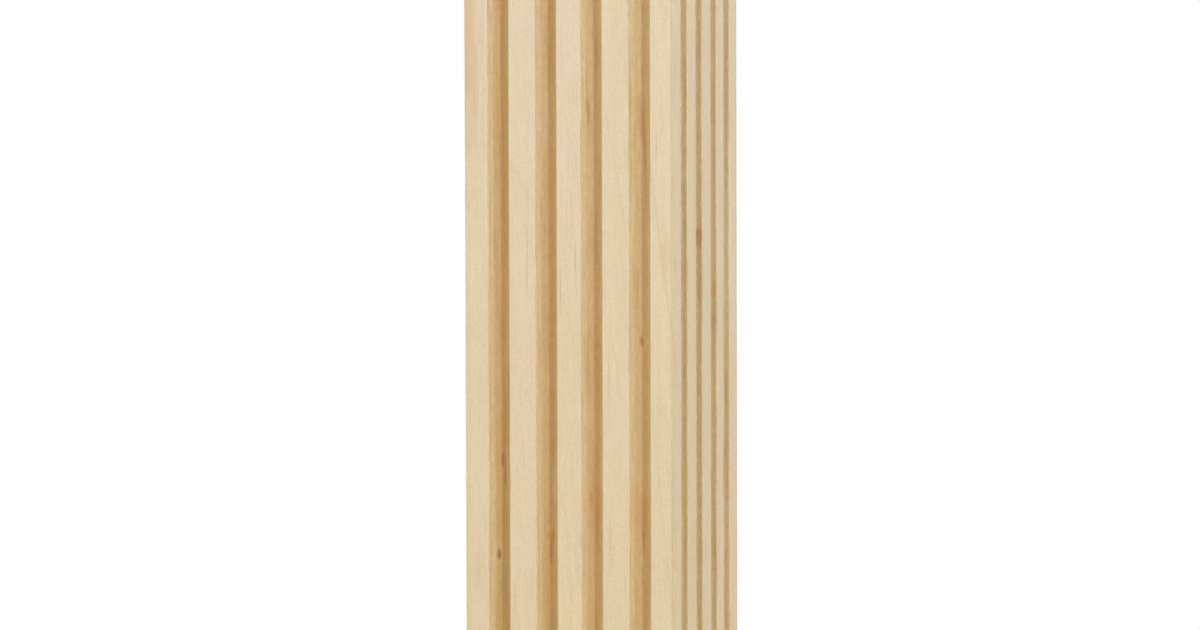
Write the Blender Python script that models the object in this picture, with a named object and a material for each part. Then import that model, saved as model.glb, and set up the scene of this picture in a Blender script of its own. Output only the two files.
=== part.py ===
"""A square hard maple corner post: fluted on the two faces that show, plain on the two that meet
the cabinets, and cut square at both ends. It stands on its underside with +Z up; the fluted faces
are -Y, the front, and +X, the side, and they meet at the fluted corner."""

import math

import bmesh
import bpy

# Driving sizes, in metres
POST_WIDTH = 0.0889  # 3 1/2 in square
POST_HEIGHT = 0.8954  # 35 1/4 in, under the worktop of a base cabinet
CORNER_RADIUS = 0.0007  # sanded ease on the four long corners

FLUTE_COUNT = 4  # on each fluted face
FLUTE_WIDTH = 0.0089  # across a flute, and across the half-round at its bottom
FLUTE_WALL = 0.0013  # straight side of a flute, from the face down to the half-round
ARRIS_RADIUS = 0.0004  # sanded ease along both sides of each flute
EDGE_LAND = 0.0101  # flat land from a corner of the post to the nearest flute

# How far a flute stands from its even place, away from the fluted corner, by its number from there
FRONT_WANDER = {1: 0.0003, 2: -0.0004}
SIDE_WANDER = {0: -0.0005, 2: 0.0005, 3: -0.0009}

# How finely the curves are cut into flats
FLUTE_STEPS = 16
ARRIS_STEPS = 3
CORNER_STEPS = 5
SMOOTH_UP_TO = math.radians(35)

MAPLE_COLOUR = (0.775, 0.631, 0.429, 1.0)
MAPLE_ROUGHNESS = 0.55


def arc(centre, radius, start, end, steps):
    """Points along an arc, both ends included; the angles run from the first axis to the second."""
    angles = [start + (end - start) * step / steps for step in range(steps + 1)]
    return [(centre[0] + radius * math.cos(a), centre[1] + radius * math.sin(a)) for a in angles]


def flute_section(middle):
    """One flute as (distance along the face, depth below it), with both of its eased arrises."""
    half = FLUTE_WIDTH / 2
    ease_centre = (middle - half - ARRIS_RADIUS, ARRIS_RADIUS)
    near_ease = arc(ease_centre, ARRIS_RADIUS, -math.pi / 2, 0, ARRIS_STEPS)
    half_round = arc((middle, FLUTE_WALL), half, math.pi, 0, FLUTE_STEPS)
    far_ease = [(2 * middle - along, depth) for along, depth in reversed(near_ease)]
    return near_ease + half_round + far_ease


def fluted_face_section(wander):
    """A fluted face's section from the fluted corner to the face's far edge."""
    pitch = (POST_WIDTH - 2 * EDGE_LAND - FLUTE_WIDTH) / (FLUTE_COUNT - 1)
    first_middle = EDGE_LAND + FLUTE_WIDTH / 2
    points = []
    for number in range(FLUTE_COUNT):
        points += flute_section(first_middle + number * pitch + wander.get(number, 0.0))
    return points


def eased_corner(x_side, y_side, start):
    """A quarter turn round the corner on that side of X and Y, anticlockwise from the start angle."""
    reach = POST_WIDTH / 2 - CORNER_RADIUS
    return arc((x_side * reach, y_side * reach), CORNER_RADIUS, start, start + math.pi / 2, CORNER_STEPS)


def post_section():
    """The post's outline seen from above, anticlockwise from the fluted corner."""
    half = POST_WIDTH / 2
    side_face = [(half - depth, along - half) for along, depth in fluted_face_section(SIDE_WANDER)]
    front_face = [(half - along, depth - half) for along, depth in fluted_face_section(FRONT_WANDER)]
    return (
        eased_corner(1, -1, -math.pi / 2)
        + side_face
        + eased_corner(1, 1, 0)
        + eased_corner(-1, 1, math.pi / 2)
        + eased_corner(-1, -1, math.pi)
        + front_face[::-1]
    )


def maple():
    """Clear hard maple, sanded and left matt."""
    material = bpy.data.materials.new("maple")
    material.use_nodes = True
    shader = material.node_tree.nodes["Principled BSDF"]
    shader.inputs["Base Color"].default_value = MAPLE_COLOUR
    shader.inputs["Roughness"].default_value = MAPLE_ROUGHNESS
    shader.inputs["Metallic"].default_value = 0.0
    return material


def fluted_post():
    """The whole post as one solid: its section drawn on the floor and extruded to its height."""
    bm = bmesh.new()
    foot = bm.faces.new([bm.verts.new((x, y, 0.0)) for x, y in post_section()])
    grown = bmesh.ops.extrude_face_region(bm, geom=[foot], use_keep_orig=True)
    top_corners = [item for item in grown["geom"] if isinstance(item, bmesh.types.BMVert)]
    bmesh.ops.translate(bm, vec=(0.0, 0.0, POST_HEIGHT), verts=top_corners)
    bmesh.ops.recalc_face_normals(bm, faces=bm.faces)
    mesh = bpy.data.meshes.new("fluted_post")
    bm.to_mesh(mesh)
    bm.free()
    mesh.shade_smooth()
    mesh.set_sharp_from_angle(angle=SMOOTH_UP_TO)
    mesh.materials.append(maple())
    post = bpy.data.objects.new("fluted_post", mesh)
    bpy.context.scene.collection.objects.link(post)
    return post


for leftover in list(bpy.data.objects):
    bpy.data.objects.remove(leftover, do_unlink=True)
fluted_post()
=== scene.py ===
"""The looks of the fluted corner post: clear hard maple, moulded, sanded and left matt, with its flutes
burnished a little browner by the cutter and darkened by painted shade, and its square ends left as they
were sawn."""

import math

import bpy
import numpy as np
from mathutils import Matrix, Vector, noise


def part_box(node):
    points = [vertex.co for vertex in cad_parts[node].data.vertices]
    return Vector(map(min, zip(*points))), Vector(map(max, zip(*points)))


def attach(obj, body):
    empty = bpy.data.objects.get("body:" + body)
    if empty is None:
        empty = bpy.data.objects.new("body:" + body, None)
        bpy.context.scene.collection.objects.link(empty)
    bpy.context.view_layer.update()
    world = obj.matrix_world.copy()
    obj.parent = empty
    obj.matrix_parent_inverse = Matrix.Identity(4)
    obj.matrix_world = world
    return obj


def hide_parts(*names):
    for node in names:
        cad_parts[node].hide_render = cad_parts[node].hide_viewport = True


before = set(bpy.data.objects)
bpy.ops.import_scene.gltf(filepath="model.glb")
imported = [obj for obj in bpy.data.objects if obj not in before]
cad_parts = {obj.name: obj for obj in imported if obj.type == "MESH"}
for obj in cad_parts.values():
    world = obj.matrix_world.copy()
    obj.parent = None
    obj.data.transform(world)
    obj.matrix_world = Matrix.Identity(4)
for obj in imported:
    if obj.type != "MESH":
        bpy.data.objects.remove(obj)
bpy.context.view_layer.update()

# The post's sizes, in metres: the outside from the frame, and the moulding as the solid has it
post_low, post_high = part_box("fluted_post")
POST_WIDTH = post_high.x - post_low.x
POST_HEIGHT = post_high.z - post_low.z
HALF_WIDTH = POST_WIDTH / 2
CORNER_RADIUS = 0.0007
FLUTE_COUNT = 4
FLUTE_WIDTH = 0.0089
FLUTE_WALL = 0.0013
FLUTE_DEPTH = FLUTE_WALL + FLUTE_WIDTH / 2
ARRIS_RADIUS = 0.0004
EDGE_LAND = 0.0101
FRONT_WANDER = {1: 0.0003, 2: -0.0004}
SIDE_WANDER = {0: -0.0005, 2: 0.0005, 3: -0.0009}

# The camera of the photograph: a long lens, a little above the stretch of post that it shows
VIEW_AZIMUTH = math.radians(18.5)
VIEW_ELEVATION = math.radians(1.9)
VIEW_ROLL = math.radians(-0.16)
VIEW_DISTANCE = 1.538
VIEW_HEIGHT = 0.45
VIEW_AIM_LEFT = 0.00145
LENS_MM = 111.7
SENSOR_MM = 36.0

# The studio: a round floor, solid out to a share of its radius, and what light the surround gives
FLOOR_RADIUS = 1.3
FLOOR_SOLID_SHARE = 0.35
FLOOR_CORNERS = 96
FLOOR_DROP = 0.0002
FLOOR_WHITE = "#dcdad6"
FLOOR_ROUGHNESS = 0.8
SURROUND_LIGHT = 0.03

# How finely the mesh is cut, and how sharp an edge has to be to shade as one
FLUTE_STEPS = 22
ARRIS_STEPS = 3
CORNER_STEPS = 5
LAND_STEPS = 4
PLAIN_STEPS = 14
SMOOTHING_MARGIN = 0.00008
LEVEL_SPACING = 0.006
SHARP_FROM = math.radians(40)

# What the hand did: sanding leaves the faces a hair uneven, and wears the arrises and the end edges
SANDING_DIP = 0.00005
SANDING_PATCH = Vector((0.03, 0.03, 0.11))
ARRIS_WEAR = 0.00008
ARRIS_WEAR_LENGTH = 0.035
END_EASE = 0.00025


# The post's mesh


def arc(centre, radius, start, end, steps):
    """Points along an arc, both ends included; the angles run from the first axis to the second."""
    angles = [start + (end - start) * step / steps for step in range(steps + 1)]
    return [(centre[0] + radius * math.cos(a), centre[1] + radius * math.sin(a)) for a in angles]


def flute_section(middle):
    """One flute as (distance along the face, depth below it), with both of its eased arrises."""
    half = FLUTE_WIDTH / 2
    ease_centre = (middle - half - ARRIS_RADIUS, ARRIS_RADIUS)
    near_ease = arc(ease_centre, ARRIS_RADIUS, -math.pi / 2, 0, ARRIS_STEPS)
    near_side = near_ease + [(middle - half, ARRIS_RADIUS + SMOOTHING_MARGIN)]
    half_round = arc((middle, FLUTE_WALL), half, math.pi, 0, FLUTE_STEPS)
    far_side = [(2 * middle - along, depth) for along, depth in reversed(near_side)]
    return near_side + half_round + far_side


def between(start, end, steps):
    """Points that cut a straight stretch into steps, with one more just inside each end of it."""
    margin = SMOOTHING_MARGIN / math.dist(start, end)
    shares = [margin] + [step / steps for step in range(1, steps)] + [1 - margin]
    return [tuple(a + (b - a) * share for a, b in zip(start, end)) for share in shares]


def fluted_face_section(wander):
    """A fluted face's section from the fluted corner to its far corner, with its lands cut up."""
    pitch = (POST_WIDTH - 2 * EDGE_LAND - FLUTE_WIDTH) / (FLUTE_COUNT - 1)
    first_middle = EDGE_LAND + FLUTE_WIDTH / 2
    land_start = (CORNER_RADIUS, 0.0)
    points = []
    for number in range(FLUTE_COUNT):
        flute = flute_section(first_middle + number * pitch + wander.get(number, 0.0))
        points += between(land_start, flute[0], LAND_STEPS) + flute
        land_start = flute[-1]
    return points + between(land_start, (POST_WIDTH - CORNER_RADIUS, 0.0), LAND_STEPS)


def eased_corner(x_side, y_side, start):
    """A quarter turn round the corner on that side of X and Y, anticlockwise from the start angle."""
    reach = HALF_WIDTH - CORNER_RADIUS
    centre = (x_side * reach, y_side * reach)
    return arc(centre, CORNER_RADIUS, start, start + math.pi / 2, CORNER_STEPS)


def post_section():
    """The outline seen from above, anticlockwise from the fluted corner; each point's depth in a
    flute; and where the points on the flutes' arrises and on the corners are."""
    side = [(HALF_WIDTH - d, u - HALF_WIDTH, d) for u, d in fluted_face_section(SIDE_WANDER)]
    front = [(HALF_WIDTH - u, d - HALF_WIDTH, d) for u, d in fluted_face_section(FRONT_WANDER)]
    sides = ((1, -1, -math.pi / 2), (1, 1, 0), (-1, 1, math.pi / 2), (-1, -1, math.pi))
    corners = [[(x, y, -1.0) for x, y in eased_corner(*side_of_corner)] for side_of_corner in sides]
    back = [(x, y, 0.0) for x, y in between(corners[1][-1][:2], corners[2][0][:2], PLAIN_STEPS)]
    left = [(x, y, 0.0) for x, y in between(corners[2][-1][:2], corners[3][0][:2], PLAIN_STEPS)]
    outline = corners[0] + side + corners[1] + back + corners[2] + left + corners[3] + front[::-1]
    points = np.array(outline)
    depth = np.maximum(points[:, 2], 0)
    on_arris = (depth > 0) & (depth < ARRIS_RADIUS + SMOOTHING_MARGIN / 2)
    on_corner = points[:, 2] < 0
    return points[:, :2], depth, on_arris.astype(float), on_corner.astype(float)


def outward_normals(outline):
    """The outline's unit normals, each square to the line between its neighbours."""
    chord = np.roll(outline, -1, axis=0) - np.roll(outline, 1, axis=0)
    normals = np.stack([chord[:, 1], -chord[:, 0]], axis=1)
    return normals / np.linalg.norm(normals, axis=1, keepdims=True)


def sanded_relief(place, edge_weight):
    """How far the sanded surface stands proud of the true moulding there."""
    patch = Vector(a / b for a, b in zip(place, SANDING_PATCH))
    wear = 0.5 + 0.5 * noise.noise(place / ARRIS_WEAR_LENGTH)
    return SANDING_DIP * noise.noise(patch) - ARRIS_WEAR * edge_weight * wear


def post_levels():
    """The heights of the mesh's rings, with the two ends' eases in the outermost steps."""
    count = round((POST_HEIGHT - 2 * END_EASE) / LEVEL_SPACING)
    inner = np.linspace(END_EASE, POST_HEIGHT - END_EASE, count + 1)
    return np.concatenate([[0.0], inner, [POST_HEIGHT]])


def sanded_rings(outline, edge_weight, levels):
    """The mesh's points: the section at each level, set off by the relief, and drawn in at the ends."""
    normals = outward_normals(outline)
    rings = []
    for z in levels:
        ease = END_EASE if z in (levels[0], levels[-1]) else 0.0
        relief = [sanded_relief(Vector((x, y, z)), w) - ease for (x, y), w in zip(outline, edge_weight)]
        edge = outline + normals * np.array(relief)[:, None]
        rings.append(np.column_stack([edge, np.full(len(edge), z)]))
    return np.concatenate(rings).tolist()


def ring_faces(around, ring_count):
    """Faces that join each ring of points to the next one up, and then one across each end."""
    quads = []
    for level in range(ring_count - 1):
        foot = level * around
        for i in range(around):
            j = (i + 1) % around
            quads.append((foot + i, foot + j, foot + around + j, foot + around + i))
    top = (ring_count - 1) * around
    return quads + [tuple(reversed(range(around))), tuple(range(top, top + around))]


def add_object(name, data):
    """An object of that mesh, light or camera, in the scene."""
    thing = bpy.data.objects.new(name, data)
    bpy.context.scene.collection.objects.link(thing)
    return thing


def dressed_post():
    """The post as sanded, with flat sawn ends."""
    outline, depth, on_arris, on_corner = post_section()
    levels = post_levels()
    points = sanded_rings(outline, on_arris + on_corner, levels)
    mesh = bpy.data.meshes.new("maple_corner_post")
    mesh.from_pydata(points, [], ring_faces(len(outline), len(levels)))
    for name, values in (("flute_depth", depth / FLUTE_DEPTH), ("arris", on_arris)):
        attribute = mesh.attributes.new(name, "FLOAT", "POINT")
        attribute.data.foreach_set("value", np.tile(values, len(levels)).astype(np.float32))
    mesh.shade_smooth()
    mesh.set_sharp_from_angle(angle=SHARP_FROM)
    mesh.materials.append(maple("hard_maple_sanded"))
    mesh.materials.append(maple("hard_maple_sawn_end", sawn_end=True))
    for cap in mesh.polygons[-2:]:
        cap.material_index = 1
    return add_object("maple_corner_post", mesh)


# The maple


def linear(hex_colour):
    """An sRGB hex colour as the linear one that Blender's shaders take."""
    channels = [int(hex_colour[i : i + 2], 16) / 255 for i in (1, 3, 5)]
    return (*[c / 12.92 if c <= 0.04045 else ((c + 0.055) / 1.055) ** 2.4 for c in channels], 1.0)


def add(tree, kind, inputs=None, **settings):
    """Adds a node with its settings. Each of its inputs takes a value, a node or a node's output."""
    node = tree.nodes.new(kind)
    for name, value in settings.items():
        setattr(node, name, value)
    for socket, source in (inputs or {}).items():
        if isinstance(source, bpy.types.Node):
            source = next(output for output in source.outputs if output.enabled)
        if isinstance(source, bpy.types.NodeSocket):
            tree.links.new(source, node.inputs[socket])
        else:
            node.inputs[socket].default_value = source
    return node


# The tree that the post was cut from. Its heart ran up behind the post's left edge, leaning away, so
# that the growth rings come out on the front as a few faint pointed arches, tip upwards.
HEART_X = -0.040
HEART_BEHIND_FRONT = 0.130
HEART_LEAN = 0.080
HEART_BEND_LENGTH = 0.25
RING_WIDTH = 0.0061
FIRST_RING = 0.459
RING_WANDER = 0.0022
RING_WANDER_ACROSS = 0.04
RING_WANDER_ALONG = 0.18

# How many ring widths the rings come early or late, and how fast that changes from ring to ring; how
# dark the faintest is beside the darkest; and a ring's darkness at shares of its width, outwards
RING_UNEVENNESS = 0.5
RING_UNEVENNESS_PER_RING = 0.4
FAINTEST_RING = 0.2
RING_DARKNESS = ((0.70, 0.0), (0.88, 0.20), (0.94, 1.0), (0.965, 0.85), (0.985, 0.10))

# The rays, which are thin plates: how thick they are, how far outwards they run and how high they are
RAY_THICKNESS = 0.00014
RAY_REACH = 0.006
RAY_HEIGHT = 0.0011

# Blender's noise is this in the middle, and mostly between the other two
NOISE_MIDDLE = (0.5, 0.5, 0.5)
NOISE_LOW = 0.25
NOISE_HIGH = 0.75

WHITE = (1.0, 1.0, 1.0, 1.0)

# Colours of hard maple, as sRGB
SAPWOOD_PINK = "#e9d5b9"
SAPWOOD_YELLOW = "#e5d5b1"
# Painted light for one flute, not a colour of the maple
FLUTE_PAINTED_LIGHT = "#fbfaf4"
RING_BROWN = "#b98f5c"
STREAK_BROWN = "#b3783f"
STREAK_RED = "#be7140"
PATCH_ROSE = "#e6ad76"
PATCH_YELLOW = "#d9b878"
PIN_BROWN = "#6b4a20"
CURL_BROWN = "#c69355"
CURL_GOLD = "#dcae6a"

# A fleck is full inside the core and gone at the edge, in half sizes with the raggedness added
FLECK_RAGGEDNESS = 0.9
FLECK_CORE = 0.75
FLECK_EDGE = 1.45

# The curl in the grain up the left edge of the front
CURL_MIDDLE = (-0.0445, -0.0445, 0.5600)
CURL_HALF_SIZE = (0.0100, 0.0100, 0.0550)
CURL_WAVE = 2.4

# Sanded maple is matt, a little rougher along its fibres, which stand up by this much
MAPLE_IOR = 1.5
MAPLE_ROUGHNESS = 0.48
FIBRE_ROUGHNESS = 0.10
FIBRE_HEIGHT = 0.00002
BUMP_STRENGTH = 0.8

# The saw's strokes across the ends, as many as this to the metre along X and Y
SAW_STROKES = (60.0, 1400.0, 0.0)
SAW_STROKE_HEIGHT = 0.00006

# How each place filters the wood's colour: times this much red, green and blue
LOWER_FILTER = (1.0, 0.982, 0.90)
# Painted glare: lighter towards the back
BACK_PAINTED_GLARE = (1.045, 1.035, 1.04)
BLUSH_FILTER = (1.0, 0.963, 0.902)
SAWN_FILTER = (0.83, 0.77, 0.67)
# The flutes' filters: partly the cutter's burnish, partly painted shade in the hollows
FLUTE_WALL_BURNISH_AND_SHADE = (1.0, 0.985, 0.905)
FLUTE_BOTTOM_BURNISH_AND_SHADE = (0.822, 0.658, 0.420)
# Painted shade down in the side's flutes
SIDE_FLUTE_PAINTED_SHADE = (0.960, 0.940, 0.905)
OLIVE_FILTER = (0.938, 0.985, 0.920)
# The arrises' and corners' filters: partly wear, partly painted shade over the highlights on their eases
ARRIS_WEAR_AND_SHADE = (0.84, 0.80, 0.74)
CORNER_WEAR_AND_SHADE = (0.82, 0.78, 0.72)

# Where those filters begin and where they are full: by height, by how far back, by how far right, by
# share of a flute's depth, by the distance from a corner, and then by a noise
LOWER_FROM, LOWER_FULL = 0.58, 0.32
BACK_FROM, BACK_FULL = 0.028, 0.040
SIDE_FROM, SIDE_FULL = 0.0355, 0.0375
WALL_FROM, WALL_FULL = 0.02, 0.10
BOTTOM_FROM, BOTTOM_FULL = 0.58, 0.97
CORNER_FROM, CORNER_FULL = 0.0022, 0.0004
PINK_FROM, PINK_FULL = 0.3, 0.7
BLUSH_FROM, BLUSH_FULL = 0.32, 0.68
OLIVE_FROM, OLIVE_FULL = 0.42, 0.62
BURNISH_AND_SHADE_PATCH_FROM, BURNISH_AND_SHADE_PATCH_FULL = 0.3, 0.7

# Burnish and painted shade in the flutes' bottoms at the post's left and right edges, how patchy that is,
# how strong the cutter's fine marks are, and the corners' wear and painted shade on the left and on the
# right
BURNISH_AND_SHADE_LEFT = 1.12
BURNISH_AND_SHADE_RIGHT = 0.66
BURNISH_AND_SHADE_PATCHINESS = 0.12
CUTTER_MARKS = 0.065
CORNER_WEAR_AND_SHADE_LEFT = 0.12
CORNER_WEAR_AND_SHADE_RIGHT = 1.0


def heart_to(tree, place):
    """How far a place is from the tree's heart, which leans and bends, and how far round it."""
    patch = (1 / RING_WANDER_ACROSS, 1 / RING_WANDER_ACROSS, 1 / RING_WANDER_ALONG)
    patches = add(tree, "ShaderNodeVectorMath", {0: place, 1: patch}, operation="MULTIPLY")
    wander = add(tree, "ShaderNodeTexNoise", {"Vector": patches, "Scale": 1.0, "Detail": 2.0})
    centred = add(
        tree,
        "ShaderNodeVectorMath",
        {0: wander.outputs["Color"], 1: NOISE_MIDDLE},
        operation="SUBTRACT",
    )
    warped = add(
        tree,
        "ShaderNodeVectorMath",
        {0: centred, 1: (RING_WANDER, RING_WANDER, 0.0), 2: place},
        operation="MULTIPLY_ADD",
    )
    axes = add(tree, "ShaderNodeSeparateXYZ", {0: warped})
    height = add(tree, "ShaderNodeMath", {0: axes.outputs["Z"], 1: VIEW_HEIGHT}, operation="SUBTRACT")
    bend = add(tree, "ShaderNodeMath", {0: height, 1: HEART_BEND_LENGTH}, operation="DIVIDE")
    lean = add(tree, "ShaderNodeMath", {0: bend}, operation="TANH")
    heart_y = add(
        tree,
        "ShaderNodeMath",
        {0: lean, 1: HEART_LEAN * HEART_BEND_LENGTH, 2: HEART_BEHIND_FRONT - HALF_WIDTH},
        operation="MULTIPLY_ADD",
    )
    across = add(tree, "ShaderNodeMath", {0: axes.outputs["X"], 1: HEART_X}, operation="SUBTRACT")
    outward = add(tree, "ShaderNodeMath", {0: axes.outputs["Y"], 1: heart_y}, operation="SUBTRACT")
    from_heart = add(tree, "ShaderNodeCombineXYZ", {0: across, 1: outward})
    radius = add(tree, "ShaderNodeVectorMath", {0: from_heart}, operation="LENGTH").outputs["Value"]
    turn = add(tree, "ShaderNodeMath", {0: across, 1: outward}, operation="ARCTAN2")
    return radius, turn


def ring_lines(tree, radius):
    """A mask of the thin dark lines where the growth rings end, by the distance from the heart."""
    per_metre = RING_UNEVENNESS_PER_RING / RING_WIDTH
    slow = add(tree, "ShaderNodeMath", {0: radius, 1: per_metre}, operation="MULTIPLY")
    uneven = add(tree, "ShaderNodeTexNoise", {"W": slow, "Scale": 1.0}, noise_dimensions="1D")
    widths = add(
        tree,
        "ShaderNodeMath",
        {0: uneven.outputs["Fac"], 1: RING_UNEVENNESS, 2: FIRST_RING},
        operation="MULTIPLY_ADD",
    )
    count = add(tree, "ShaderNodeMath", {0: radius, 1: 1 / RING_WIDTH, 2: widths}, operation="MULTIPLY_ADD")
    share = add(tree, "ShaderNodeMath", {0: count}, operation="FRACT")
    number = add(tree, "ShaderNodeMath", {0: count}, operation="FLOOR")
    chance = add(tree, "ShaderNodeTexWhiteNoise", {"W": number}, noise_dimensions="1D")
    strength = add(tree, "ShaderNodeMapRange", {"Value": chance.outputs["Value"], "To Min": FAINTEST_RING})
    profile = add(tree, "ShaderNodeFloatCurve", {"Value": share})
    curve = profile.mapping.curves[0]
    curve.points[0].location = (0.0, 0.0)
    curve.points[1].location = (1.0, 0.0)
    for at, darkness in RING_DARKNESS:
        curve.points.new(at, darkness)
    for point in curve.points:
        point.handle_type = "VECTOR"
    profile.mapping.update()
    return add(tree, "ShaderNodeMath", {0: profile, 1: strength}, operation="MULTIPLY")


def grain(tree, place, across, along, detail=2.0, shift=0.0):
    """Noise drawn out along the grain, with lumps that many metres across it and along it."""
    stretched = add(
        tree,
        "ShaderNodeVectorMath",
        {0: place, 1: (1 / across, 1 / across, 1 / along), 2: (shift, shift, shift)},
        operation="MULTIPLY_ADD",
    )
    lumps = add(tree, "ShaderNodeTexNoise", {"Vector": stretched, "Scale": 1.0, "Detail": detail})
    return lumps.outputs["Fac"]


def stain(tree, wood, shade, mask, start, full, strength):
    """The wood stained towards a shade, from where the mask is at the start to where it is full."""
    amount = add(
        tree,
        "ShaderNodeMapRange",
        {"Value": mask, "From Min": start, "From Max": full, "To Max": strength},
        interpolation_type="SMOOTHSTEP",
    )
    return add(tree, "ShaderNodeMix", {"Factor": amount, "A": wood, "B": linear(shade)}, data_type="RGBA")


def shade_by(tree, wood, mask, swing):
    """The wood made darker where a noise is low and lighter where it is high, by that share."""
    factor = add(
        tree,
        "ShaderNodeMapRange",
        {
            "Value": mask,
            "From Min": NOISE_LOW,
            "From Max": NOISE_HIGH,
            "To Min": 1 - swing,
            "To Max": 1 + swing,
        },
    )
    return add(tree, "ShaderNodeVectorMath", {0: wood, "Scale": factor}, operation="SCALE")


def filtered(tree, wood, colour, amount):
    """The wood's colour times a filter colour, as far as the amount."""
    tone = add(
        tree,
        "ShaderNodeMix",
        {"Factor": amount, "A": WHITE, "B": (*colour, 1.0)},
        data_type="RGBA",
    )
    return add(tree, "ShaderNodeVectorMath", {0: wood, 1: tone}, operation="MULTIPLY")


def reach_from(tree, place, middle, half_size):
    """How far from the middle a place is, in half sizes."""
    away = add(tree, "ShaderNodeVectorMath", {0: place, 1: middle}, operation="SUBTRACT")
    scaled = add(tree, "ShaderNodeVectorMath", {0: away, 1: half_size}, operation="DIVIDE")
    return add(tree, "ShaderNodeVectorMath", {0: scaled}, operation="LENGTH").outputs["Value"]


def fleck(tree, place, ragged, wood, middle, half_size, shade, strength):
    """A mark in the wood: a ragged lump about its middle, fading out at about its half size."""
    reach = reach_from(tree, place, middle, half_size)
    uneven = add(
        tree,
        "ShaderNodeMath",
        {0: ragged, 1: FLECK_RAGGEDNESS, 2: reach},
        operation="MULTIPLY_ADD",
    )
    return stain(tree, wood, shade, uneven, FLECK_EDGE, FLECK_CORE, strength)


def marks(tree, place, wood):
    """The mineral flecks and brown streaks that this post shows, each where it is on the real one."""
    ragged = grain(tree, place, across=0.0012, along=0.012, detail=3.0, shift=4.3)

    def mark(wood, middle, half_size, shade, strength):
        """The wood with one fleck more."""
        return fleck(tree, place, ragged, wood, middle, half_size, shade, strength)

    # In the front flutes, from the left: short brown and reddish streaks, with a dark brown pin fleck
    # under the first of them, and rosy patches
    wood = mark(wood, (-0.0319, -0.0392, 0.3538), (0.0013, 0.0020, 0.0032), PIN_BROWN, 0.55)
    wood = mark(wood, (-0.0302, -0.0388, 0.3925), (0.0014, 0.0020, 0.0046), STREAK_BROWN, 0.50)
    wood = mark(wood, (-0.0292, -0.0388, 0.3860), (0.0010, 0.0020, 0.0090), STREAK_BROWN, 0.35)
    wood = mark(wood, (-0.0085, -0.0389, 0.3975), (0.0022, 0.0020, 0.0060), STREAK_RED, 0.20)
    wood = mark(wood, (-0.0094, -0.0388, 0.3617), (0.0026, 0.0020, 0.0036), STREAK_RED, 0.22)
    wood = mark(wood, (-0.0097, -0.0388, 0.3545), (0.0009, 0.0020, 0.0080), STREAK_BROWN, 0.35)
    wood = mark(wood, (0.0071, -0.0395, 0.5335), (0.0009, 0.0020, 0.0070), STREAK_BROWN, 0.38)
    wood = mark(wood, (0.0077, -0.0392, 0.3767), (0.0008, 0.0020, 0.0060), STREAK_BROWN, 0.30)
    wood = mark(wood, (0.0290, -0.0388, 0.4410), (0.0010, 0.0020, 0.0030), STREAK_RED, 0.60)
    wood = mark(wood, (0.0297, -0.0388, 0.5288), (0.0014, 0.0020, 0.0085), PATCH_ROSE, 0.58)
    wood = mark(wood, (0.0292, -0.0395, 0.3722), (0.0090, 0.0070, 0.0130), PATCH_ROSE, 0.30)
    wood = mark(wood, (0.0297, -0.0388, 0.3605), (0.0010, 0.0020, 0.0072), STREAK_BROWN, 0.34)
    wood = mark(wood, (0.0094, -0.0390, 0.3738), (0.0070, 0.0060, 0.0105), PATCH_ROSE, 0.26)
    # On the front's lands: two short streaks, two faint brown patches and a yellowish one
    wood = mark(wood, (0.0027, -0.0445, 0.4756), (0.0006, 0.0010, 0.0070), STREAK_BROWN, 0.25)
    wood = mark(wood, (0.0048, -0.0445, 0.3609), (0.0024, 0.0020, 0.0045), STREAK_BROWN, 0.12)
    wood = mark(wood, (0.0175, -0.0445, 0.3633), (0.0008, 0.0010, 0.0110), STREAK_BROWN, 0.16)
    wood = mark(wood, (0.0405, -0.0445, 0.4750), (0.0040, 0.0010, 0.0080), PATCH_YELLOW, 0.36)
    wood = mark(wood, (-0.0386, -0.0445, 0.3465), (0.0042, 0.0020, 0.0170), STREAK_BROWN, 0.07)
    # On the side: two knotty starts of streaks, each with its tail below; a brown spot in the first
    # flute, a painted lighter stretch in the fourth and a faint browning of the second; a long thin streak
    wood = mark(wood, (0.0428, -0.0057, 0.4822), (0.0040, 0.0012, 0.0052), STREAK_RED, 0.42)
    wood = mark(wood, (0.0428, -0.0058, 0.4838), (0.0040, 0.0010, 0.0026), PIN_BROWN, 0.13)
    wood = mark(wood, (0.0428, -0.0052, 0.4640), (0.0040, 0.0011, 0.0160), STREAK_BROWN, 0.12)
    wood = mark(wood, (0.0425, -0.0262, 0.4690), (0.0050, 0.0022, 0.0075), STREAK_BROWN, 0.20)
    # Painted light: a lighter stretch down in the fourth flute
    wood = mark(wood, (0.0425, 0.0322, 0.4800), (0.0070, 0.0060, 0.0560), FLUTE_PAINTED_LIGHT, 0.24)
    wood = mark(wood, (0.0425, -0.0057, 0.4500), (0.0050, 0.0030, 0.2600), STREAK_BROWN, 0.07)
    wood = mark(wood, (0.0430, 0.0145, 0.4605), (0.0040, 0.0014, 0.0050), PATCH_ROSE, 0.45)
    wood = mark(wood, (0.0430, 0.0152, 0.4480), (0.0040, 0.0012, 0.0120), STREAK_BROWN, 0.19)
    wood = mark(wood, (0.0440, 0.0239, 0.3860), (0.0040, 0.0014, 0.0160), STREAK_BROWN, 0.42)
    # Up the left edge of the front, an orange-brown figure that waves like the edge of a curl
    figure = grain(tree, place, across=0.0032, along=0.024, shift=8.8)
    nearness = reach_from(tree, place, CURL_MIDDLE, CURL_HALF_SIZE)
    curl = add(tree, "ShaderNodeMath", {0: figure, 1: CURL_WAVE, 2: nearness}, operation="MULTIPLY_ADD")
    wood = stain(tree, wood, CURL_BROWN, curl, start=2.20, full=1.50, strength=0.25)
    return stain(tree, wood, CURL_GOLD, nearness, start=1.25, full=0.15, strength=0.16)


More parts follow.
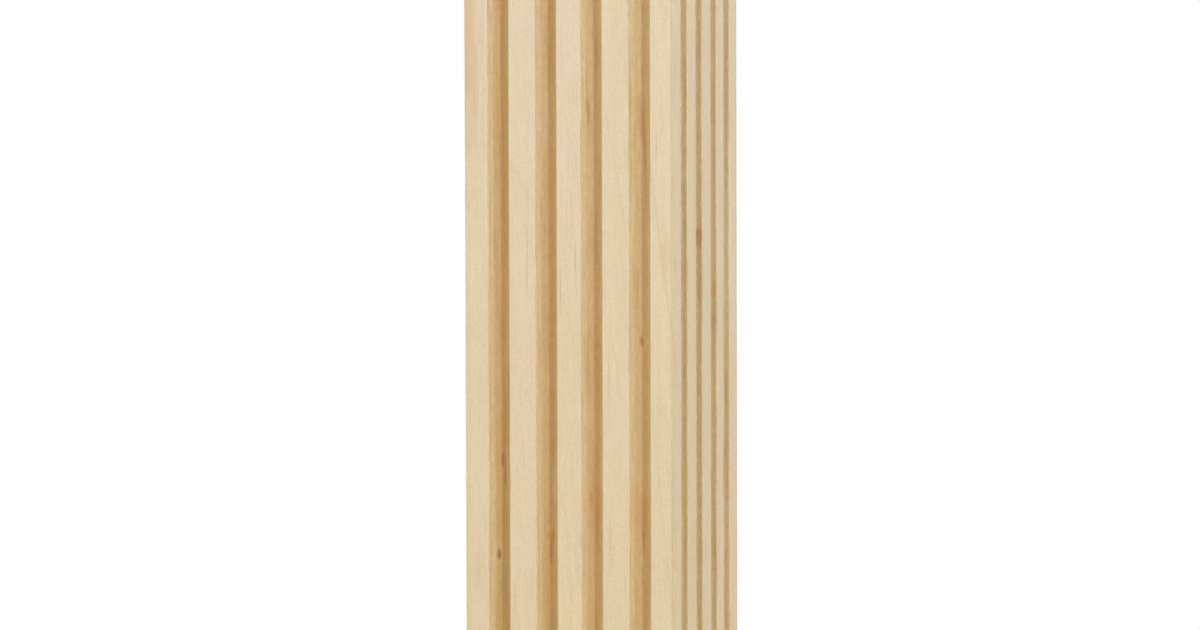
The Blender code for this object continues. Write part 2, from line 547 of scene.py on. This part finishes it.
def plain_sapwood(tree, place, axes):
    """Sapwood without its grain: it drifts between pinkish and yellowish, and low down it is yellower;
    towards the back it is lighter, a painted glare from the white surround."""
    drift = grain(tree, place, across=0.022, along=0.16, shift=3.1)
    pinkness = add(
        tree,
        "ShaderNodeMapRange",
        {"Value": drift, "From Min": PINK_FROM, "From Max": PINK_FULL},
    )
    wood = add(
        tree,
        "ShaderNodeMix",
        {"Factor": pinkness, "A": linear(SAPWOOD_YELLOW), "B": linear(SAPWOOD_PINK)},
        data_type="RGBA",
    )
    lower = add(
        tree,
        "ShaderNodeMapRange",
        {"Value": axes.outputs["Z"], "From Min": LOWER_FROM, "From Max": LOWER_FULL},
    )
    wood = filtered(tree, wood, LOWER_FILTER, lower)
    # Painted glare: the wood lighter towards the back, where the white surround lights the far edge
    painted_glare = add(
        tree,
        "ShaderNodeMapRange",
        {"Value": axes.outputs["Y"], "From Min": BACK_FROM, "From Max": BACK_FULL},
    )
    return filtered(tree, wood, BACK_PAINTED_GLARE, painted_glare)


def grained(tree, place, wood, fibres, streaks):
    """The wood with its grain: fine long fibres, some of them browner, in bands and patches. Its pores
    are drawn 0.5 mm across, so that they show."""
    wood = shade_by(tree, wood, fibres, swing=0.042)
    bands = grain(tree, place, across=0.0022, along=0.09, detail=3.0, shift=9.4)
    wood = shade_by(tree, wood, bands, swing=0.022)
    pores = grain(tree, place, across=0.0005, along=0.0009, detail=1.0, shift=2.6)
    wood = shade_by(tree, wood, pores, swing=0.055)
    mottle = grain(tree, place, across=0.006, along=0.009, shift=5.9)
    wood = shade_by(tree, wood, mottle, swing=0.012)
    blush = grain(tree, place, across=0.0080, along=0.020, detail=3.0, shift=6.6)
    warmth = add(
        tree,
        "ShaderNodeMapRange",
        {"Value": blush, "From Min": BLUSH_FROM, "From Max": BLUSH_FULL},
    )
    wood = filtered(tree, wood, BLUSH_FILTER, warmth)
    return stain(tree, wood, STREAK_BROWN, streaks, start=0.64, full=0.84, strength=0.40)


def ray_plates(tree, radius, turn, height):
    """A mask of the rays, thin upright plates that run out from the heart: dashes on the front, flecks
    and lines elsewhere."""
    rays_to_radian = HEART_BEHIND_FRONT / RAY_THICKNESS
    round_heart = add(tree, "ShaderNodeMath", {0: turn, 1: rays_to_radian}, operation="MULTIPLY")
    outwards = add(tree, "ShaderNodeMath", {0: radius, 1: 1 / RAY_REACH}, operation="MULTIPLY")
    upwards = add(tree, "ShaderNodeMath", {0: height, 1: 1 / RAY_HEIGHT}, operation="MULTIPLY")
    ray_place = add(tree, "ShaderNodeCombineXYZ", {0: outwards, 1: round_heart, 2: upwards})
    return add(tree, "ShaderNodeTexNoise", {"Vector": ray_place, "Scale": 1.0, "Detail": 1.0})


def saw_strokes(tree, place):
    """The strokes that the saw's blade left across an end."""
    stroke_place = add(tree, "ShaderNodeVectorMath", {0: place, 1: SAW_STROKES}, operation="MULTIPLY")
    return add(tree, "ShaderNodeTexNoise", {"Vector": stroke_place, "Scale": 1.0, "Detail": 2.0})


def maple(name, sawn_end=False):
    """Hard maple: creamy and close-grained, with a few faint brown rings, fine rays and brown fibres."""
    material = bpy.data.materials.new(name)
    material.use_nodes = True
    tree = material.node_tree
    shader = tree.nodes["Principled BSDF"]
    place = add(tree, "ShaderNodeTexCoord").outputs["Object"]
    axes = add(tree, "ShaderNodeSeparateXYZ", {0: place})
    radius, turn = heart_to(tree, place)
    fibres = grain(tree, place, across=0.00045, along=0.009, detail=3.0, shift=1.3)
    streaks = grain(tree, place, across=0.0011, along=0.036, shift=7.7)

    # End grain shows its rings and rays more strongly than the faces do
    ring_strength, ray_strength = (0.60, 0.26) if sawn_end else (0.15, 0.16)
    wood = plain_sapwood(tree, place, axes)
    rings = ring_lines(tree, radius)
    wood = stain(tree, wood, RING_BROWN, rings, start=0.0, full=1.0, strength=ring_strength)
    wood = grained(tree, place, wood, fibres, streaks)
    rays = ray_plates(tree, radius, turn, axes.outputs["Z"])
    wood = stain(tree, wood, RING_BROWN, rays, start=0.58, full=0.74, strength=ray_strength)

    if sawn_end:
        # The saw leaves torn end grain, which is browner, with the blade's strokes across it
        wood = filtered(tree, wood, SAWN_FILTER, amount=1.0)
        relief, relief_height = saw_strokes(tree, place), SAW_STROKE_HEIGHT
        wood = shade_by(tree, wood, relief, swing=0.05)
    else:
        wood = marks(tree, place, wood)
        wood = burnish_and_painted_shade_in_flutes(tree, place, axes.outputs["X"], wood, streaks)
        wood = wear_and_painted_shade_on_edges(tree, place, axes.outputs["X"], wood)
        relief, relief_height = fibres, FIBRE_HEIGHT

    polish = add(
        tree,
        "ShaderNodeMath",
        {0: fibres, 1: FIBRE_ROUGHNESS, 2: MAPLE_ROUGHNESS},
        operation="MULTIPLY_ADD",
    )
    bump = add(
        tree,
        "ShaderNodeBump",
        {"Height": relief, "Distance": relief_height, "Strength": BUMP_STRENGTH},
    )
    for source, socket in ((wood, "Base Color"), (polish, "Roughness"), (bump, "Normal")):
        tree.links.new(source.outputs[0], shader.inputs[socket])
    shader.inputs["IOR"].default_value = MAPLE_IOR
    return material


def burnish_and_painted_shade_in_flutes(tree, place, across, wood, streaks):
    """The wood burnished browner by the cutter and darkened by painted shade down in the flutes, more so
    towards the left.
    """
    depth = add(tree, "ShaderNodeAttribute", attribute_name="flute_depth").outputs["Fac"]
    inside = add(
        tree,
        "ShaderNodeMapRange",
        {"Value": depth, "From Min": WALL_FROM, "From Max": WALL_FULL},
        interpolation_type="SMOOTHSTEP",
    )
    wood = filtered(tree, wood, FLUTE_WALL_BURNISH_AND_SHADE, inside)

    # Burnish from the cutter and painted shade, both strongest at a flute's bottom
    burnish_and_shade_across = add(
        tree,
        "ShaderNodeMapRange",
        {
            "Value": across,
            "From Min": -HALF_WIDTH,
            "From Max": HALF_WIDTH,
            "To Min": BURNISH_AND_SHADE_LEFT,
            "To Max": BURNISH_AND_SHADE_RIGHT,
        },
    )
    patches = grain(tree, place, across=0.007, along=0.030, detail=3.0, shift=2.2)
    patchiness = add(
        tree,
        "ShaderNodeMapRange",
        {
            "Value": patches,
            "From Min": BURNISH_AND_SHADE_PATCH_FROM,
            "From Max": BURNISH_AND_SHADE_PATCH_FULL,
            "To Min": 1 - BURNISH_AND_SHADE_PATCHINESS,
            "To Max": 1 + BURNISH_AND_SHADE_PATCHINESS,
        },
    )
    deepness = add(
        tree,
        "ShaderNodeMapRange",
        {"Value": depth, "From Min": BOTTOM_FROM, "From Max": BOTTOM_FULL},
        interpolation_type="SMOOTHSTEP",
    )
    deep_burnish_and_shade = add(tree, "ShaderNodeMath", {0: deepness, 1: burnish_and_shade_across}, operation="MULTIPLY")
    flute_burnish_and_shade = add(tree, "ShaderNodeMath", {0: deep_burnish_and_shade, 1: patchiness}, operation="MULTIPLY")
    wood = filtered(tree, wood, FLUTE_BOTTOM_BURNISH_AND_SHADE, flute_burnish_and_shade)

    # The cutter's fine marks, lighter and darker
    cutter_marks = grain(tree, place, across=0.0013, along=0.0028, detail=3.0, shift=5.5)
    swing = add(
        tree,
        "ShaderNodeMapRange",
        {
            "Value": cutter_marks,
            "From Min": NOISE_LOW,
            "From Max": NOISE_HIGH,
            "To Min": -CUTTER_MARKS,
            "To Max": CUTTER_MARKS,
        },
    )
    brightness = add(tree, "ShaderNodeMath", {0: swing, 1: inside, 2: 1.0}, operation="MULTIPLY_ADD")
    wood = add(tree, "ShaderNodeVectorMath", {0: wood, "Scale": brightness}, operation="SCALE")

    # Olive patches on the walls, painted shade in the side's flutes, and streaks that show more there
    olive_patches = grain(tree, place, across=0.0022, along=0.009, shift=3.7)
    olive = add(
        tree,
        "ShaderNodeMapRange",
        {"Value": olive_patches, "From Min": OLIVE_FROM, "From Max": OLIVE_FULL},
    )
    shallow = add(tree, "ShaderNodeMath", {0: inside, 1: deepness}, operation="SUBTRACT", use_clamp=True)
    olive_walls = add(tree, "ShaderNodeMath", {0: olive, 1: shallow}, operation="MULTIPLY")
    wood = filtered(tree, wood, OLIVE_FILTER, olive_walls)
    on_side = add(
        tree,
        "ShaderNodeMapRange",
        {"Value": across, "From Min": SIDE_FROM, "From Max": SIDE_FULL},
    )
    side_flute_shade = add(tree, "ShaderNodeMath", {0: on_side, 1: inside}, operation="MULTIPLY")
    wood = filtered(tree, wood, SIDE_FLUTE_PAINTED_SHADE, side_flute_shade)
    flute_streaks = add(tree, "ShaderNodeMath", {0: streaks, 1: inside}, operation="MULTIPLY")
    return stain(tree, wood, STREAK_BROWN, flute_streaks, start=0.52, full=0.80, strength=0.35)


def wear_and_painted_shade_on_edges(tree, place, across, wood):
    """The wood browner along the flutes' arrises and the corners: partly wear from sanding and hands,
    partly painted shade.
    """
    arris = add(tree, "ShaderNodeAttribute", attribute_name="arris").outputs["Fac"]
    # Painted shade along the arrises, which keeps their eases from catching highlights, on top of their
    # wear
    wood = filtered(tree, wood, ARRIS_WEAR_AND_SHADE, arris)
    flat_place = add(tree, "ShaderNodeVectorMath", {0: place, 1: (1.0, 1.0, 0.0)}, operation="MULTIPLY")
    one_quarter = add(tree, "ShaderNodeVectorMath", {0: flat_place}, operation="ABSOLUTE")
    from_corner = add(
        tree,
        "ShaderNodeVectorMath",
        {0: one_quarter, 1: (HALF_WIDTH, HALF_WIDTH, 0.0)},
        operation="SUBTRACT",
    )
    distance = add(tree, "ShaderNodeVectorMath", {0: from_corner}, operation="LENGTH").outputs["Value"]
    at_corner = add(
        tree,
        "ShaderNodeMapRange",
        {"Value": distance, "From Min": CORNER_FROM, "From Max": CORNER_FULL},
        interpolation_type="SMOOTHSTEP",
    )
    wear_and_shade_across = add(
        tree,
        "ShaderNodeMapRange",
        {
            "Value": across,
            "From Min": -HALF_WIDTH,
            "From Max": HALF_WIDTH,
            "To Min": CORNER_WEAR_AND_SHADE_LEFT,
            "To Max": CORNER_WEAR_AND_SHADE_RIGHT,
        },
    )
    # The corners' wear and painted shade, strongest at the fluted corner on the right, where its ease would
    # catch a highlight
    edge_weight = add(tree, "ShaderNodeMath", {0: at_corner, 1: wear_and_shade_across}, operation="MULTIPLY")
    return filtered(tree, wood, CORNER_WEAR_AND_SHADE, edge_weight)


# The studio


def studio_world():
    """An even white surround: bright behind the post, and next to no light of its own."""
    world = bpy.data.worlds.new("studio")
    world.use_nodes = True
    tree = world.node_tree
    tree.nodes.clear()
    seen = add(tree, "ShaderNodeBackground", {"Color": WHITE, "Strength": 1.0})
    light = add(tree, "ShaderNodeBackground", {"Color": WHITE, "Strength": SURROUND_LIGHT})
    camera_ray = add(tree, "ShaderNodeLightPath").outputs["Is Camera Ray"]
    both = add(tree, "ShaderNodeMixShader", {0: camera_ray, 1: light, 2: seen})
    add(tree, "ShaderNodeOutputWorld", {"Surface": both})
    bpy.context.scene.world = world


def towards(azimuth, elevation):
    """The way to that azimuth, which is 0 in front of the post and a quarter turn on its right."""
    level = math.cos(elevation)
    return Vector((math.sin(azimuth) * level, -math.cos(azimuth) * level, math.sin(elevation)))


def soft_box(name, azimuth, elevation, distance, width, height, power):
    """A soft box facing the middle of the post; azimuth 0 is in front of it, and 90 to its right."""
    data = bpy.data.lights.new(name, "AREA")
    data.shape = "RECTANGLE"
    data.size = width
    data.size_y = height
    data.energy = power
    light = add_object(name, data)
    away = towards(math.radians(azimuth), math.radians(elevation))
    light.location = Vector((0, 0, POST_HEIGHT / 2)) + away * distance
    light.rotation_euler = away.to_track_quat("Z", "Y").to_euler()
    light.visible_camera = False


def photo_camera():
    """The camera where the photograph was taken from."""
    data = bpy.data.cameras.new("camera")
    data.lens = LENS_MM
    data.sensor_width = SENSOR_MM
    camera = add_object("camera", data)
    back = towards(VIEW_AZIMUTH, VIEW_ELEVATION)
    right = Vector((math.cos(VIEW_AZIMUTH), math.sin(VIEW_AZIMUTH), 0.0))
    aim = Vector((0, 0, VIEW_HEIGHT)) - right * VIEW_AIM_LEFT
    turn = (-back).to_track_quat("-Z", "Y").to_matrix() @ Matrix.Rotation(VIEW_ROLL, 3, "Z")
    camera.matrix_world = Matrix.Translation(aim + back * VIEW_DISTANCE) @ turn.to_4x4()
    bpy.context.scene.camera = camera


def studio_floor():
    """A pale round floor that fades out to its rim, throws no light or shade on the post, and can't
    be seen from below."""
    turns = np.linspace(0, math.tau, FLOOR_CORNERS, endpoint=False)
    disc = [(FLOOR_RADIUS * math.cos(a), FLOOR_RADIUS * math.sin(a), -FLOOR_DROP) for a in turns]
    mesh = bpy.data.meshes.new("studio_floor")
    mesh.from_pydata(disc, [], [tuple(range(len(disc)))])
    paper = bpy.data.materials.new("white_paper_sweep")
    paper.use_nodes = True
    tree = paper.node_tree
    shader = tree.nodes["Principled BSDF"]
    place = add(tree, "ShaderNodeTexCoord").outputs["Object"]
    radius = add(tree, "ShaderNodeVectorMath", {0: place}, operation="LENGTH").outputs["Value"]
    fade = add(
        tree,
        "ShaderNodeMapRange",
        {"Value": radius, "From Min": FLOOR_RADIUS, "From Max": FLOOR_RADIUS * FLOOR_SOLID_SHARE},
        interpolation_type="SMOOTHSTEP",
    )
    from_below = add(tree, "ShaderNodeNewGeometry").outputs["Backfacing"]
    solid = add(tree, "ShaderNodeMath", {0: fade, 1: from_below}, operation="SUBTRACT", use_clamp=True)
    tree.links.new(solid.outputs[0], shader.inputs["Alpha"])
    shader.inputs["Base Color"].default_value = linear(FLOOR_WHITE)
    shader.inputs["Roughness"].default_value = FLOOR_ROUGHNESS
    mesh.materials.append(paper)
    floor = add_object("studio_floor", mesh)
    floor.visible_diffuse = False
    floor.visible_glossy = False
    floor.visible_shadow = False


photo_camera()
studio_world()
soft_box("front_box", azimuth=1, elevation=11, distance=3.0, width=0.45, height=2.0, power=36.8)
soft_box("key_strip", azimuth=44, elevation=13, distance=3.0, width=0.22, height=2.0, power=28.5)
soft_box("right_box", azimuth=80, elevation=11, distance=3.0, width=2.0, height=2.0, power=61.5)
soft_box("left_box", azimuth=-78, elevation=11, distance=3.0, width=0.62, height=2.0, power=38.9)
soft_box("left_fill", azimuth=-46, elevation=11, distance=3.0, width=0.90, height=2.0, power=16.5)
soft_box("backdrop_box", azimuth=160, elevation=2, distance=2.6, width=2.4, height=2.4, power=10)
soft_box("back_box", azimuth=218, elevation=14, distance=3.0, width=1.4, height=2.0, power=82)
soft_box("top_box", azimuth=0, elevation=90, distance=2.6, width=0.7, height=0.7, power=22)
soft_box("foot_box", azimuth=0, elevation=-90, distance=2.6, width=0.3, height=0.3, power=40)
studio_floor()
bpy.context.scene.view_settings.view_transform = "Standard"

post = dressed_post()
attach(post, "root")
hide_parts("fluted_post")
